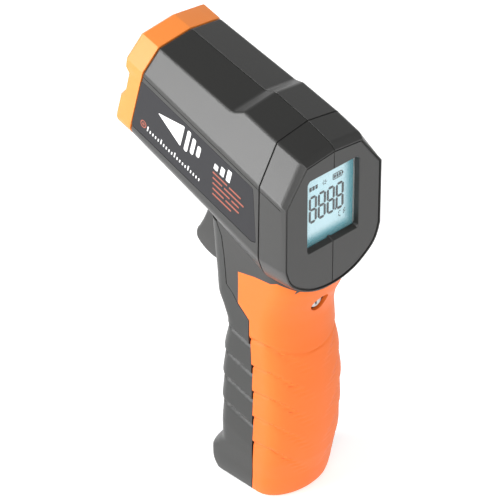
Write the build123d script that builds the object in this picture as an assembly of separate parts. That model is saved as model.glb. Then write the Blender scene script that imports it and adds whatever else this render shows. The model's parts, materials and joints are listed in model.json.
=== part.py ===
"""Infrared thermometer: a pistol-shaped instrument that stands on the foot of its grip.

Millimetres. +Z is up, -Y is the direction the nose points, +X is the user's left.
The origin is the middle of the foot on the resting surface. The barrel is pitched nose-up,
so its parts are drawn in a barrel frame: "forward" runs along the barrel from the display
face to the nose, and "up" is square to it.
"""

from build123d import *
from math import cos, radians, sin
import os

# ---------------------------------------------------------------- driving dimensions
PITCH = 15.5                    # the barrel points up by this angle
AXIS_Y = 21.5                   # the barrel frame's zero, near the display face
AXIS_Z = 114.5
FACE_Y = 24.0                   # rim of the display face, a vertical plane
BEVEL_Y = 21.9                  # where the bevel to the face starts
RING_Y = 12.2                   # vertical groove round the rear of the barrel

NOSE_BACK = 68.5                # barrel frame: back of the orange nose
NOSE_FRONT = 76.8
RAMP_FOOT = 34.1                # the rear of the barrel's top stands higher, up this ramp
RAMP_HEAD = 30.4
NOSE_HALF_WIDTH = 18.0
SIDE_TAPER = 0.0459             # the side flats spread towards the rear

WALL = 2.2                      # housing wall
FACE_RECESS = 0.8               # the display face lies this deep inside its rim
RIM = 1.2
SEAM = 0.36                     # width and depth of the fine grooves at the seams
WINDOW_HALF_WIDTH = 11.2
WINDOW_LOW = 101.3
WINDOW_HIGH = 127.8
WINDOW_DEPTH = 1.7              # the clear window lies this deep below the face

STRAP_WALL = 1.5                # orange palm strap
DOOR_WALL = 1.6                 # front grip cover
GAP = 0.35                      # between a moving part and its neighbours
GRIP_TOP = 101.0
NECK_BAND = 1.4                 # the shell shows this far between the barrel and the strap
NECK_Z = 68.6                   # the grip core is closed above this, open for the battery below
NECK_CAVITY_Z = 70.2
CORE_WALL = 1.8                 # walls of the grip core inside its covers

BATTERY_HALF_WIDTH = 13.0       # a 9 V block, 26 x 17.2 x 48.5 over its terminals
BATTERY_FRONT = -8.9
BATTERY_BACK = 8.3
BATTERY_FLOOR = 15.6
BATTERY_CORNER = 3.0
BATTERY_SHOULDER = 62.0         # top of its can
BATTERY_TOP = 64.1              # top of its terminals
BAY_HALF_WIDTH = 13.55
BAY_BACK = 8.6
DUCT_FRONT = 10.2               # wires run up behind the bay

HINGE_Y = -11.6                 # the door's hinge, inside the toe
HINGE_Z = 6.6
HINGE_PIN_RADIUS = 1.5
HINGE_SWEEP = 9.3               # the door's floor turns inside this radius
LUG_HALF_WIDTH = 4.6

TRIGGER_Y = -15.5               # the trigger's pin
TRIGGER_Z = 103.5
TRIGGER_HALF_WIDTH = 5.3
TRIGGER_SLOT = 5.8              # half-width of the slot in the neck
EAR_SLOT = 6.2                  # half-width of the gap between the door's ears
TRIGGER_PIN_RADIUS = 1.5
RUNNING_FIT = 0.05

SCREW_Y = 18.6                  # grip screw, on the back under the display
SCREW_Z = 75.7
SCREW_HEAD_RADIUS = 2.7
SCREW_SHANK_RADIUS = 1.25
SCREW_HEAD = (-3.4, -1.9)       # from and to, along the screw's frame
SCREW_TIP = -9.0
COUNTERBORE_RADIUS = 3.4
RECESS_REACH = 0.62             # arms of a cross recess, in head radii
RECESS_WIDTH = 0.24

CASE_SCREW_HEAD_RADIUS = 2.0    # screws that join the shells
CASE_SCREW_HEAD_HEIGHT = 1.4
CASE_SCREW_RADIUS = 1.1
CASE_SCREW_LENGTH = 16.0
BOSS_RADIUS = 2.9
BOSS_ENTRY = 2.6                # the boss starts this far outside the screw's seat

LABEL_THICKNESS = 0.35
LABEL_CLEARANCE = 0.12          # round the label in its recess
LABEL_GLUE = 0.15               # behind the label
LABEL_OUTLINE = [               # (forward, up) on the side flat
    (68.2, -13.7), (68.2, 5.1), (14.2, 5.1), (7.6, -12.6), (9.6, -13.7),
]

DOOR_GROOVES = [(-13.9, 64.2), (-14.8, 53.6), (-15.6, 43.6), (-15.6, 33.6)]   # front end: (y, z)
GROOVE_WIDTH = 0.9
GROOVE_DEPTH = 0.7

NOSE_SECTION = (18.8, 13.1, 16.8, 8.4, -15.3, [(15.6, -19.0), (10.6, -21.2), (5.0, -21.7), (0, -21.8)])
NOSE_SCOOP = [                  # (forward, up): what is cut off the front of the nose's sides
    (78.5, 7.4), (76.6, 5.2), (74.6, 4.0), (74.3, -3.4), (75.6, -6.6), (75.9, -24.0), (78.5, -24.0),
]
NOSE_EDGE = 1.0                 # the nose's front edge slopes over this length
BEZEL_WALL = 2.6
PLATE_BACK = 70.6
PLATE_FRONT = 72.2

SENSOR_UP = -4.0                # barrel frame: axes of the sensor and of the laser
LASER_UP = 9.6
TUBE_RADIUS = 7.6
TUBE_BORE = 5.2
TUBE_FRONT = 72.9
TUBE_BACK = 51.0
LENS_BACK = 62.0
LENS_FRONT = 65.0
LENS_CURVE = 8.0
SENSOR_CAN_RADIUS = 4.1
LASER_RADIUS = 3.0
LASER_BACK = 56.0

LCD_HALF_WIDTH = 12.0
LCD_LOW = 100.6
LCD_HIGH = 128.6
LCD_BACK = 18.3
LCD_FRONT = 20.3
BOARD_BACK = 13.0               # main board: its faces across Y
BOARD_FRONT = 14.6
WINDOW_THICKNESS = 1.2
FACE_INNER_Y = 20.6

UNIT_SWITCH_X = (7.5, 11.7)
UNIT_SWITCH_Z = (74.8, 82.6)
SLIDER_HALF_WIDTH = 0.85

TRIGGER_OUTLINE = [             # (y, z), from the pin's head down the front and back up
    (-12.6, 106.4), (-18.4, 106.4), (-22.6, 104.0), (-25.2, 98.0), (-27.2, 92.0), (-29.0, 87.6),
    (-30.8, 84.2), (-32.2, 82.0), (-32.6, 80.2), (-32.2, 78.4), (-30.2, 76.6), (-27.0, 75.0),
    (-23.0, 74.2), (-16.4, 74.3), (-13.4, 77.0), (-12.6, 92.0),
]
TRIGGER_ROOM = [                # (y, z): the slot that the trigger moves in
    (-32.0, 71.8), (-10.6, 71.8), (-8.6, 96.0), (-8.6, 107.6), (-27.6, 107.6), (-32.0, 99.0),
]
TRIGGER_EDGE = 0.9
PLUNGER_Z = 88.0
PLUNGER_FRONT = -12.4
PLUNGER_RADIUS = 1.1
SWITCH_FRONT = -7.2
SWITCH_BACK = -1.2
SPRING_Z = 79.6
SPRING_RADIUS = 2.1
SPRING_WIRE = 0.3
SPRING_START = -14.0
SPRING_END = -4.75
SPRING_TURNS = 6

TERMINALS = ((-6.35, 2.9), (6.35, 3.9))     # (x, radius) on top of the battery
SNAP_REACH = 6.0
LEAD_X = 5.0
LEAD_RADIUS = 0.65

# grip: height, half-width, front, rear, depth of the round front, depth of the round rear
GRIP = [
    (0.0, 13.3, -16.2, 13.2, 5.0, 8.5),
    (1.4, 14.5, -17.5, 14.6, 5.0, 9.0),
    (6.0, 15.3, -18.7, 15.8, 5.0, 9.3),
    (9.6, 15.5, -18.6, 16.5, 5.0, 9.5),
    (12.6, 15.7, -16.9, 17.2, 6.2, 9.5),
    (16.0, 15.9, -15.1, 18.0, 7.5, 9.5),
    (28.0, 16.1, -15.0, 19.2, 7.5, 9.5),
    (41.0, 16.1, -14.7, 19.4, 7.5, 9.5),
    (53.0, 16.0, -13.9, 18.2, 7.5, 9.5),
    (63.0, 15.8, -12.6, 16.6, 7.5, 9.8),
    (68.0, 15.6, -14.6, 16.5, 7.5, 10.0),
    (73.0, 15.5, -17.2, 17.4, 7.8, 10.3),
    (80.0, 15.4, -18.0, 20.6, 8.0, 10.6),
    (86.0, 15.5, -18.6, 22.6, 8.0, 10.6),
    (93.0, 15.8, -19.0, 20.0, 8.0, 10.0),
    (GRIP_TOP, 16.2, -19.4, 15.0, 8.0, 8.0),
]

# edge between the front cover and what lies behind it, seen from the side: (y, z)
DOOR_EDGE = [
    (1.5, -1.0), (2.1, 0.0), (3.1, 3.0), (3.7, 7.0), (4.1, 13.6), (4.4, 28.0), (4.2, 40.0), (3.9, 51.4),
    (2.6, 61.0), (2.3, 68.4), (-2.7, 72.1), (-5.1, 75.0), (-8.0, 77.2), (-8.9, 87.8), (-9.6, 94.7),
    (-11.6, 99.4),
]
DOOR_CORNER = 9                 # index of (2.3, 68.4) above, where the edge turns forward
STRAP_FRONT_Y = -2.5
STRAP_TOP = [(STRAP_FRONT_Y, 84.4), (5.0, 86.0), (12.0, 86.8), (30.0, 88.4)]


# ---------------------------------------------------------------- frames and helpers
def barrel_point(x, forward, up):
    """A point of the barrel frame, in the part's frame."""
    pitch = radians(PITCH)
    y = AXIS_Y - forward * cos(pitch) + up * sin(pitch)
    z = AXIS_Z + forward * sin(pitch) + up * cos(pitch)
    return (x, y, z)


BARREL = Plane(
    origin=(0, AXIS_Y, AXIS_Z),
    x_dir=(1, 0, 0),
    z_dir=(0, -cos(radians(PITCH)), sin(radians(PITCH))),
)


def side_x(forward):
    """Half-width of the barrel at its side flats."""
    return NOSE_HALF_WIDTH + (NOSE_BACK - forward) * SIDE_TAPER


def mirrored(half):
    """A closed outline from its +X half, which runs from the top centre to the bottom centre."""
    return half + [(-x, y, z) for x, y, z in reversed(half[1:-1])]


def polygon_face(points):
    return make_face(Polyline(*points, close=True)).faces()[0]


def side_prism(outline, half_width, centre=0.0):
    """A prism across X from an outline of (y, z) points."""
    profile = make_face(Polyline(*[(y, z) for y, z in outline], close=True))
    prism = extrude(Plane.YZ * profile, amount=half_width, both=True)
    return Pos(centre, 0, 0) * prism


def block(x_range, y_range, z_range):
    size = [high - low for low, high in (x_range, y_range, z_range)]
    middle = [(low + high) / 2 for low, high in (x_range, y_range, z_range)]
    return Pos(*middle) * Box(*size)


def cross_rod(radius, y, z, x_low, x_high):
    """A rod along X."""
    return Pos((x_low + x_high) / 2, y, z) * Rot(0, 90, 0) * Cylinder(radius, x_high - x_low)


def barrel_rod(radius, up, start, end, x=0.0):
    """A rod along the barrel, from one forward position to another."""
    return BARREL * Pos(x, up, (start + end) / 2) * Cylinder(radius, end - start)


# ---------------------------------------------------------------- the barrel's outer shape
def tilted_section(forward, ridge, edge_x, edge, crease, corner, chin):
    """A barrel section square to the barrel axis. chin lists the (x, up) points underneath."""
    width = side_x(forward)
    half = [(0, ridge), (edge_x, edge), (width, crease), (width, corner)] + chin
    return mirrored([barrel_point(x, forward, up) for x, up in half])


def ring_section():
    """The barrel section in the vertical plane of the groove."""
    pitch = radians(PITCH)
    half = []
    for x, up in ((0, 22.2), (13.0, 20.2), (None, 7.8), (None, -17.3)):
        forward = (AXIS_Y + up * sin(pitch) - RING_Y) / cos(pitch)
        half.append(barrel_point(side_x(forward) if x is None else x, forward, up))
    for x, below in ((17.8, 22.9), (11.8, 27.4), (6.0, 29.3), (0, 29.9)):
        half.append((x, RING_Y, AXIS_Z - below))
    return mirrored(half)


def upright_section(y, half):
    return mirrored([(x, y, AXIS_Z + z) for x, z in half])


FACE_OUTLINE = [
    (0, 20.3), (12.1, 19.0), (20.9, 7.4), (20.9, -15.4),
    (18.3, -21.6), (12.2, -26.2), (6.3, -28.4), (0, -29.1),
]
BEVEL_OUTLINE = [
    (0, 22.0), (12.7, 20.6), (21.1, 8.0), (21.1, -15.6),
    (18.5, -21.9), (12.4, -26.6), (6.4, -28.8), (0, -29.5),
]


def barrel_sections(inset=0.0):
    """The outer sections from the nose to the display face, or the same drawn inwards."""
    outlines = [
        tilted_section(NOSE_BACK, *NOSE_SECTION),
        tilted_section(RAMP_FOOT, 19.8, 13.7, 17.8, 8.1, -16.4,
                       [(16.4, -21.0), (11.0, -23.8), (5.2, -24.5), (0, -24.7)]),
        tilted_section(RAMP_HEAD, 22.3, 12.6, 20.3, 8.1, -16.5,
                       [(16.5, -21.1), (11.0, -23.9), (5.2, -24.7), (0, -24.9)]),
        ring_section(),
        upright_section(BEVEL_Y, BEVEL_OUTLINE),
        upright_section(FACE_Y, FACE_OUTLINE),
    ]
    faces = [polygon_face(points) for points in outlines]
    if inset:
        faces = [offset(face, -inset, kind=Kind.INTERSECTION).faces()[0] for face in faces]
    return faces


def loft_faces(faces):
    """A solid through the faces, as one piece for each pair so that every wall is true."""
    pieces = [loft([a, b], ruled=True) for a, b in zip(faces, faces[1:])]
    solid = pieces[0]
    for piece in pieces[1:]:
        solid = solid + piece
    return solid


def barrel_solid(inset=0.0):
    return loft_faces(barrel_sections(inset))


# ---------------------------------------------------------------- the grip's outer shape
def grip_face(row, inset=0.0):
    """One grip section: flat sides with an elliptical front and rear."""
    z, half_width, front, rear, front_round, rear_round = row
    width = half_width - inset
    front_centre = front + front_round
    rear_centre = rear - rear_round
    nose = EllipticalCenterArc((0, front_centre), width, front_round - inset, 180, arc_size=180)
    heel = EllipticalCenterArc((0, rear_centre), width, rear_round - inset, 0, arc_size=180)
    left = Line((width, front_centre), (width, rear_centre))
    right = Line((-width, rear_centre), (-width, front_centre))
    return Pos(0, 0, z) * make_face([nose, left, heel, right]).faces()[0]


def grip_solid(inset=0.0):
    return loft([grip_face(row, inset) for row in GRIP])


# ---------------------------------------------------------------- zones of the grip, seen from the side
def shifted(edge, dy):
    return [(y + dy, z) for y, z in edge]


DOOR_ZONE = DOOR_EDGE + [(-40, 99.4), (-40, -1.0)]
BEHIND_DOOR = shifted(DOOR_EDGE, GAP)
BACK_ZONE = BEHIND_DOOR + [(40, 99.4), (40, -1.0)]
STRAP_FOOT = [(STRAP_FRONT_Y, 72.6)]
NECK_ZONE = BEHIND_DOOR[DOOR_CORNER:] + [(-11.0, 103.0), (28.0, 103.0)] + STRAP_TOP[::-1] + STRAP_FOOT
STRAP_ZONE = BEHIND_DOOR[:DOOR_CORNER + 1] + STRAP_FOOT + STRAP_TOP + [(30.0, -1.0)]


# ---------------------------------------------------------------- features shared by several parts
def skin_groove(slab):
    """The part of a slab that lies within SEAM of the barrel's surface."""
    return (barrel_solid() & slab) - barrel_solid(SEAM)


def grip_screw_frame():
    """Frame of the grip screw: its z axis points out of the back of the grip."""
    return Plane(origin=(0, SCREW_Y, SCREW_Z), x_dir=(1, 0, 0), z_dir=(0, 1, 0))


CASE_SCREWS = [                 # (y, z, head x)
    (*barrel_point(0, 56.0, -16.9)[1:], -13.8),
    (*barrel_point(0, 24.0, -18.0)[1:], -16.6),
    (12.0, 52.0, -9.4),
    (12.0, 20.0, -9.4),
]


def label_slab(side, outline, proud, depth):
    """A slab on a side flat from proud outside it to depth inside. side is +1 left, -1 right."""
    outer = [barrel_point(side * (side_x(f) + proud), f, u) for f, u in outline]
    inner = [barrel_point(side * (side_x(f) - depth), f, u) for f, u in outline]
    return loft([polygon_face(outer), polygon_face(inner)], ruled=True)


def label_recess(side):
    """The label's recess in the shell: its outline let out by the clearance, open outwards."""
    middle = 38.0
    outline = [(f + (LABEL_CLEARANCE if f > middle else -LABEL_CLEARANCE),
                u + (LABEL_CLEARANCE if u > 0 else -LABEL_CLEARANCE)) for f, u in LABEL_OUTLINE]
    return label_slab(side, outline, 0.6, LABEL_THICKNESS + LABEL_GLUE)


# ---------------------------------------------------------------- housing
def window_cut():
    """The display opening: sloping walls down to the window, then the window's own pocket."""
    face = FACE_Y - FACE_RECESS
    floor = face - WINDOW_DEPTH
    outer = [(WINDOW_HALF_WIDTH, face + 0.01), (WINDOW_HALF_WIDTH - 0.5, floor)]
    sections = []
    for half_width, y in outer:
        lift = 0.9 if y == floor else 0.0
        low, high = WINDOW_LOW + lift, WINDOW_HIGH - 0.3 * lift
        sections.append(polygon_face([(-half_width, y, low), (half_width, y, low),
                                      (half_width, y, high), (-half_width, y, high)]))
    pocket = block((-12.5, 12.5), (18.0, floor), (100.2, 129.0))
    return loft(sections, ruled=True) + pocket


def barrel_cavity():
    """The hollow of the barrel, open at the nose."""
    outlines = barrel_sections(WALL)
    ahead = tilted_section(NOSE_BACK + 1.0, *NOSE_SECTION)
    mouth = offset(polygon_face(ahead), -WALL, kind=Kind.INTERSECTION).faces()[0]
    back_wall = upright_section(FACE_INNER_Y, BEVEL_OUTLINE)
    back = offset(polygon_face(back_wall), -WALL, kind=Kind.INTERSECTION).faces()[0]
    return loft_faces([mouth] + outlines[1:4] + [back])


def grip_cavities():
    """The hollow neck, the wire duct behind the battery, and the battery bay."""
    shell = grip_solid(DOOR_WALL + GAP + CORE_WALL)
    neck = shell & block((-20, 20), (-30, 30), (NECK_CAVITY_Z, GRIP_TOP))
    duct = grip_solid(STRAP_WALL + CORE_WALL) & block((-20, 20), (DUCT_FRONT, 30), (5.0, GRIP_TOP))
    bay = block((-BAY_HALF_WIDTH, BAY_HALF_WIDTH), (-30, BAY_BACK), (BATTERY_FLOOR - 0.1, NECK_Z))
    wire_slot = block((-6.2, 6.2), (BAY_BACK - 1, DUCT_FRONT + 1), (62.8, 67.6))
    return [neck, duct, bay, wire_slot]


def grip_core():
    """What the covers of the grip are fixed to, down to the foot."""
    upper = grip_solid(DOOR_WALL + GAP) & block((-20, 20), (-30, 30), (NECK_Z, GRIP_TOP))
    back = grip_solid(STRAP_WALL) & side_prism(BACK_ZONE, 20)
    foot = grip_solid(DOOR_WALL + 2 * GAP) & block((-13.2, 13.2), (-30, 30), (0, BATTERY_FLOOR - 0.1))
    foot = foot - block((-20, 20), (-30, HINGE_Y + 1.0), (-1, 30))
    foot = foot - cross_rod(HINGE_SWEEP, HINGE_Y, HINGE_Z, -20, 20)
    lug = cross_rod(3.3, HINGE_Y, HINGE_Z, -LUG_HALF_WIDTH, LUG_HALF_WIDTH)
    web = block((-LUG_HALF_WIDTH, LUG_HALF_WIDTH), (HINGE_Y, -1.0), (3.4, HINGE_Z + 3.2))
    return upper + back + foot + lug + web


def housing_bosses():
    """Bosses inside the shells for the trigger pin, the shell screws and the switches."""
    bosses = []
    for side in (1, -1):
        inner = TRIGGER_SLOT * side
        outer = 9.6 * side
        bosses.append(cross_rod(3.2, TRIGGER_Y, TRIGGER_Z, min(inner, outer), max(inner, outer)))
    for y, z, head_x in CASE_SCREWS:
        bosses.append(cross_rod(BOSS_RADIUS, y, z, head_x - BOSS_ENTRY, -head_x))
    bosses.append(block((-16.0, 16.0), (-7.6, -1.0), (82.6, 84.4)))
    bosses.append(block((-16.0, 16.0), (-4.4, -2.6), (76.0, 83.0)))
    bosses.append(grip_screw_frame() * Pos(0, 0, (SCREW_TIP - BOSS_RADIUS) / 2 - 0.4) * Cylinder(3.0, 7.0))
    return bosses


def trigger_opening():
    """The slot in the neck and in the barrel's underside that the trigger moves in."""
    return side_prism(TRIGGER_ROOM, TRIGGER_SLOT)


def neck_band():
    """The strip of shell that shows between the barrel and the strap."""
    lowered = Pos(0, 0, -NECK_BAND) * barrel_solid()
    return grip_solid() & lowered & block((-24, 24), (STRAP_FRONT_Y, 30), (70, GRIP_TOP))


def housing_solid():
    neck = grip_solid() & side_prism(NECK_ZONE, 24)
    outer = barrel_solid() + neck + neck_band() + grip_core()
    solid = outer - barrel_cavity()
    for cavity in grip_cavities():
        solid = solid - cavity
    for boss in housing_bosses():
        solid = solid + (boss & outer)
    solid = solid - trigger_opening()
    solid = solid - cross_rod(TRIGGER_PIN_RADIUS, TRIGGER_Y, TRIGGER_Z, -9.0, 9.0)
    solid = solid - cross_rod(HINGE_PIN_RADIUS, HINGE_Y, HINGE_Z, -20, 20)
    for y, z, head_x in CASE_SCREWS:
        solid = solid - cross_rod(CASE_SCREW_RADIUS, y, z, head_x, head_x + CASE_SCREW_LENGTH)
        solid = solid - cross_rod(CASE_SCREW_HEAD_RADIUS, y, z, -24.0, head_x)
    frame = grip_screw_frame()
    solid = solid - frame * Pos(0, 0, SCREW_TIP / 2) * Cylinder(SCREW_SHANK_RADIUS, -SCREW_TIP)
    seat = SCREW_HEAD[0]
    solid = solid - frame * Pos(0, 0, seat / 2 + 1) * Cylinder(SCREW_HEAD_RADIUS, 2 - seat)
    solid = solid - block(UNIT_SWITCH_X, (-20.0, -9.0), UNIT_SWITCH_Z)
    solid = solid - window_cut()
    rim_inner = offset(polygon_face(upright_section(FACE_Y + 0.1, FACE_OUTLINE)), -RIM,
                       kind=Kind.INTERSECTION).faces()[0]
    solid = solid - extrude(rim_inner, amount=FACE_RECESS + 0.1, dir=(0, -1, 0))
    solid = solid - skin_groove(block((-30, 30), (RING_Y - SEAM / 2, RING_Y + SEAM / 2), (80, 150)))
    solid = solid - skin_groove(block((-SEAM / 2, SEAM / 2), (-60, 30), (95, 160)))
    for side in (1, -1):
        solid = solid - label_recess(side)
    return solid


def housing_half(solid, side):
    half = block((0, 30) if side > 0 else (-30, 0), (-90, 40), (-5, 170))
    return solid & half


# ---------------------------------------------------------------- covers of the grip
def slanted_slab(front_y, front_z, width, rear_y=30.0):
    """A slab that falls towards the rear as steeply as the barrel rises to the front."""
    slope = sin(radians(PITCH)) / cos(radians(PITCH))
    lead, run = 6.0, rear_y - front_y
    front, rear = front_z + lead * slope, front_z - run * slope
    return side_prism([(front_y - lead, front), (rear_y, rear), (rear_y, rear - width),
                       (front_y - lead, front - width)], 24)


def battery_door():
    """The front grip cover, with ears on both sides of the trigger and the hinge in its toe."""
    outer = grip_solid()
    solid = (outer - grip_solid(DOOR_WALL)) & side_prism(DOOR_ZONE, 24)
    toe_sweep = cross_rod(HINGE_SWEEP - GAP, HINGE_Y, HINGE_Z, -20, 20)
    floor = outer & side_prism([(-30, 0.0), (-6.6, 0.0), (-6.6, 1.8), (-30, 1.8)], 24) & toe_sweep
    solid = solid + floor
    knuckle = cross_rod(3.2, HINGE_Y, HINGE_Z, -12.2, 12.2)
    bracket = block((-12.2, 12.2), (-30, HINGE_Y), (HINGE_Z - 2.4, HINGE_Z + 2.4))
    solid = solid + (outer & (knuckle + bracket))
    lug_room = LUG_HALF_WIDTH + GAP
    solid = solid - cross_rod(3.3 + GAP + 0.1, HINGE_Y, HINGE_Z, -lug_room, lug_room)
    solid = solid - block((-lug_room, lug_room), (HINGE_Y - 1.0, 0), (-1, 12))
    solid = solid - block((-lug_room, lug_room), (HINGE_Y - 4.0, 0), (-1, HINGE_Z))
    solid = solid - cross_rod(HINGE_PIN_RADIUS + RUNNING_FIT, HINGE_Y, HINGE_Z, -12.6, 12.6)
    solid = solid - block((-BAY_HALF_WIDTH, BAY_HALF_WIDTH), (-6.6, 30), (-1, 22))
    solid = solid - battery_block(GAP)
    solid = solid - side_prism([(-40, 71.4), (10, 71.4), (10, 101), (-40, 101)], EAR_SLOT)
    solid = solid - barrel_clearance()
    skin = outer - grip_solid(GROOVE_DEPTH)
    for y, z in DOOR_GROOVES:
        solid = solid - (skin & slanted_slab(y, z, GROOVE_WIDTH))
    return solid


def barrel_clearance():
    """The barrel's underside moved down by a gap, so that the ears stay clear of it."""
    return Pos(0, 0, -2 * GAP) * barrel_solid()


def back_strap():
    """The orange palm strap over the back of the grip."""
    solid = (grip_solid() - grip_solid(STRAP_WALL)) & side_prism(STRAP_ZONE, 24)
    solid = solid - Pos(0, 0, -NECK_BAND) * barrel_solid()
    return solid - grip_screw_frame() * Cylinder(COUNTERBORE_RADIUS, 12)


# ---------------------------------------------------------------- nose
def nose_outline(forward, inset=0.0, grow=0.0):
    ridge, edge_x, edge, crease, corner, chin = NOSE_SECTION
    points = tilted_section(forward, ridge + grow, edge_x, edge + grow, crease, corner, chin)
    face = polygon_face(points)
    if inset:
        face = offset(face, -inset, kind=Kind.INTERSECTION).faces()[0]
    return face


def nose_bezel():
    """The orange ring round the nose; its sides are scooped back at mid height."""
    outer = loft_faces([nose_outline(NOSE_BACK), nose_outline(NOSE_FRONT - NOSE_EDGE),
                        nose_outline(NOSE_FRONT, 0.9)])
    inner = loft_faces([nose_outline(NOSE_BACK - 1, BEZEL_WALL),
                        nose_outline(NOSE_FRONT + 1, BEZEL_WALL)])
    solid = outer - inner
    outline = [barrel_point(0, f, u)[1:] for f, u in NOSE_SCOOP]
    return solid - side_prism(outline, 24)


def nose_plate():
    """The dark plate in the nose, with the openings of the sensor and the laser."""
    plate = loft_faces([nose_outline(PLATE_BACK, BEZEL_WALL), nose_outline(PLATE_FRONT, BEZEL_WALL)])
    plate = plate - barrel_rod(TUBE_RADIUS, SENSOR_UP, 60, 80)
    plate = plate - barrel_rod(LASER_RADIUS, LASER_UP, 60, 80)
    return plate


# ---------------------------------------------------------------- optics and electronics
def sensor_tube():
    tube = barrel_rod(TUBE_RADIUS, SENSOR_UP, TUBE_BACK, TUBE_FRONT)
    tube = tube - barrel_rod(TUBE_BORE, SENSOR_UP, TUBE_BACK - 1, TUBE_FRONT + 1)
    mouth = BARREL * Pos(0, SENSOR_UP, 70.4) * Cone(TUBE_BORE, TUBE_RADIUS - 0.9, 5.2)
    return tube - mouth


def ir_lens():
    dome = BARREL * Pos(0, SENSOR_UP, LENS_FRONT + 0.2 - LENS_CURVE) * Sphere(LENS_CURVE)
    return barrel_rod(TUBE_BORE, SENSOR_UP, LENS_BACK, LENS_FRONT) & dome


def thermopile_sensor():
    can = barrel_rod(SENSOR_CAN_RADIUS, SENSOR_UP, 51.2, 54.4)
    flange = barrel_rod(SENSOR_CAN_RADIUS + 0.5, SENSOR_UP, 50.4, 51.2)
    return can + flange - barrel_rod(1.6, SENSOR_UP, 54.1, 55.0)


def sensor_board():
    return BARREL * Pos(0, SENSOR_UP, 49.7) * Box(24, 18, 1.4)


def laser_module():
    body = barrel_rod(LASER_RADIUS, LASER_UP, LASER_BACK, TUBE_FRONT)
    return body - barrel_rod(1.1, LASER_UP, 70.9, TUBE_FRONT + 1)


def display_window():
    floor = FACE_Y - FACE_RECESS - WINDOW_DEPTH
    return block((-12.4, 12.4), (floor - WINDOW_THICKNESS, floor), (100.3, 128.9))


def lcd_panel():
    return block((-LCD_HALF_WIDTH, LCD_HALF_WIDTH), (LCD_BACK, LCD_FRONT), (LCD_LOW, LCD_HIGH))


def lcd_frame():
    """The frame round the display, with a slot under it for the contact strip."""
    across = (-LCD_HALF_WIDTH, LCD_HALF_WIDTH)
    ring = block((-13.8, 13.8), (BOARD_FRONT + 0.1, LCD_FRONT - 0.1), (97.6, 130.4))
    ring = ring - block(across, (14.0, 21.0), (LCD_LOW, LCD_HIGH))
    ring = ring - block(across, (14.0, LCD_BACK), (98.6, LCD_LOW + 0.1))
    upright = ring.edges().filter_by(Axis.Y)
    top_corners = upright.filter_by(lambda e: e.center().Z > 130 and abs(e.center().X) > 13)
    return chamfer(top_corners, 1.6)


def backlight_panel():
    reach = LCD_HALF_WIDTH - 0.2
    return block((-reach, reach), (LCD_BACK - 1.7, LCD_BACK), (LCD_LOW + 0.2, LCD_HIGH - 0.2))


def contact_strip():
    reach = LCD_HALF_WIDTH - 0.4
    return block((-reach, reach), (BOARD_FRONT, LCD_BACK - 0.1), (98.8, LCD_LOW - 0.2))


def main_board():
    board = block((-16.2, 16.2), (BOARD_BACK, BOARD_FRONT), (96.0, 131.0))
    return chamfer(board.edges().filter_by(Axis.Y).filter_by(lambda e: e.center().Z > 130), 4.4)


def main_chip():
    chip = block((-6.0, 6.0), (BOARD_BACK - 1.6, BOARD_BACK), (108.0, 120.0))
    for x in (-5.6, 5.6):
        chip = chip + block((x - 0.2, x + 0.2), (BOARD_BACK - 1.0, BOARD_BACK), (106.9, 121.1))
    return chip


# ---------------------------------------------------------------- trigger and its switch
def trigger():
    solid = side_prism(TRIGGER_OUTLINE, TRIGGER_HALF_WIDTH)
    across = solid.edges().filter_by(Axis.X)
    front = across.filter_by(lambda e: -33 < e.center().Y < -21 and e.center().Z < 100)
    solid = fillet(front, TRIGGER_EDGE)
    solid = solid - cross_rod(TRIGGER_PIN_RADIUS + RUNNING_FIT, TRIGGER_Y, TRIGGER_Z, -9, 9)
    spring_seat = Pos(0, -13.0, SPRING_Z) * Rot(90, 0, 0) * Cylinder(SPRING_RADIUS + 0.6, 3.0)
    return solid - spring_seat


def trigger_pin():
    return cross_rod(TRIGGER_PIN_RADIUS, TRIGGER_Y, TRIGGER_Z, -9.0, 9.0)


def trigger_spring():
    length = SPRING_END - SPRING_START
    path = Helix(length / SPRING_TURNS, length, SPRING_RADIUS)
    section = Plane(origin=path @ 0, z_dir=path % 0) * Circle(SPRING_WIRE)
    coil = sweep(section, path=path, is_frenet=True)
    return Pos(0, SPRING_START, SPRING_Z) * Rot(-90, 0, 0) * coil


def trigger_switch():
    body = block((-3.2, 3.2), (SWITCH_FRONT, SWITCH_BACK), (84.4, 91.6))
    bore = Rot(90, 0, 0) * Cylinder(PLUNGER_RADIUS + RUNNING_FIT, 6.0)
    return body - Pos(0, SWITCH_FRONT + 2.0, PLUNGER_Z) * bore


def switch_plunger():
    length = SWITCH_FRONT + 1.6 - PLUNGER_FRONT
    return Pos(0, PLUNGER_FRONT + length / 2, PLUNGER_Z) * Rot(90, 0, 0) * Cylinder(PLUNGER_RADIUS, length)


# ---------------------------------------------------------------- battery and its connections
def battery_block(grow=0.0):
    """The battery's can, or the room that it needs."""
    reach = BATTERY_HALF_WIDTH + grow
    can = block((-reach, reach), (BATTERY_FRONT - grow, BATTERY_BACK + grow),
                (BATTERY_FLOOR - grow, BATTERY_SHOULDER + grow))
    return fillet(can.edges().filter_by(Axis.Z), BATTERY_CORNER + grow)


def battery():
    can = battery_block()
    middle = (BATTERY_FRONT + BATTERY_BACK) / 2
    height = BATTERY_TOP - BATTERY_SHOULDER
    for x, radius in TERMINALS:
        can = can + Pos(x, middle, BATTERY_SHOULDER + height / 2) * Cylinder(radius, height)
    return can


def battery_snap():
    middle = (BATTERY_FRONT + BATTERY_BACK) / 2
    plate = block((-12.6, 12.6), (middle - SNAP_REACH, middle + SNAP_REACH),
                  (BATTERY_SHOULDER + 0.6, BATTERY_TOP + 1.8))
    plate = fillet(plate.edges().filter_by(Axis.Z), 3.0)
    height = BATTERY_TOP - BATTERY_SHOULDER
    for x, radius in TERMINALS:
        plate = plate - Pos(x, middle, BATTERY_SHOULDER) * Cylinder(radius, 2 * height)
    return plate


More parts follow.
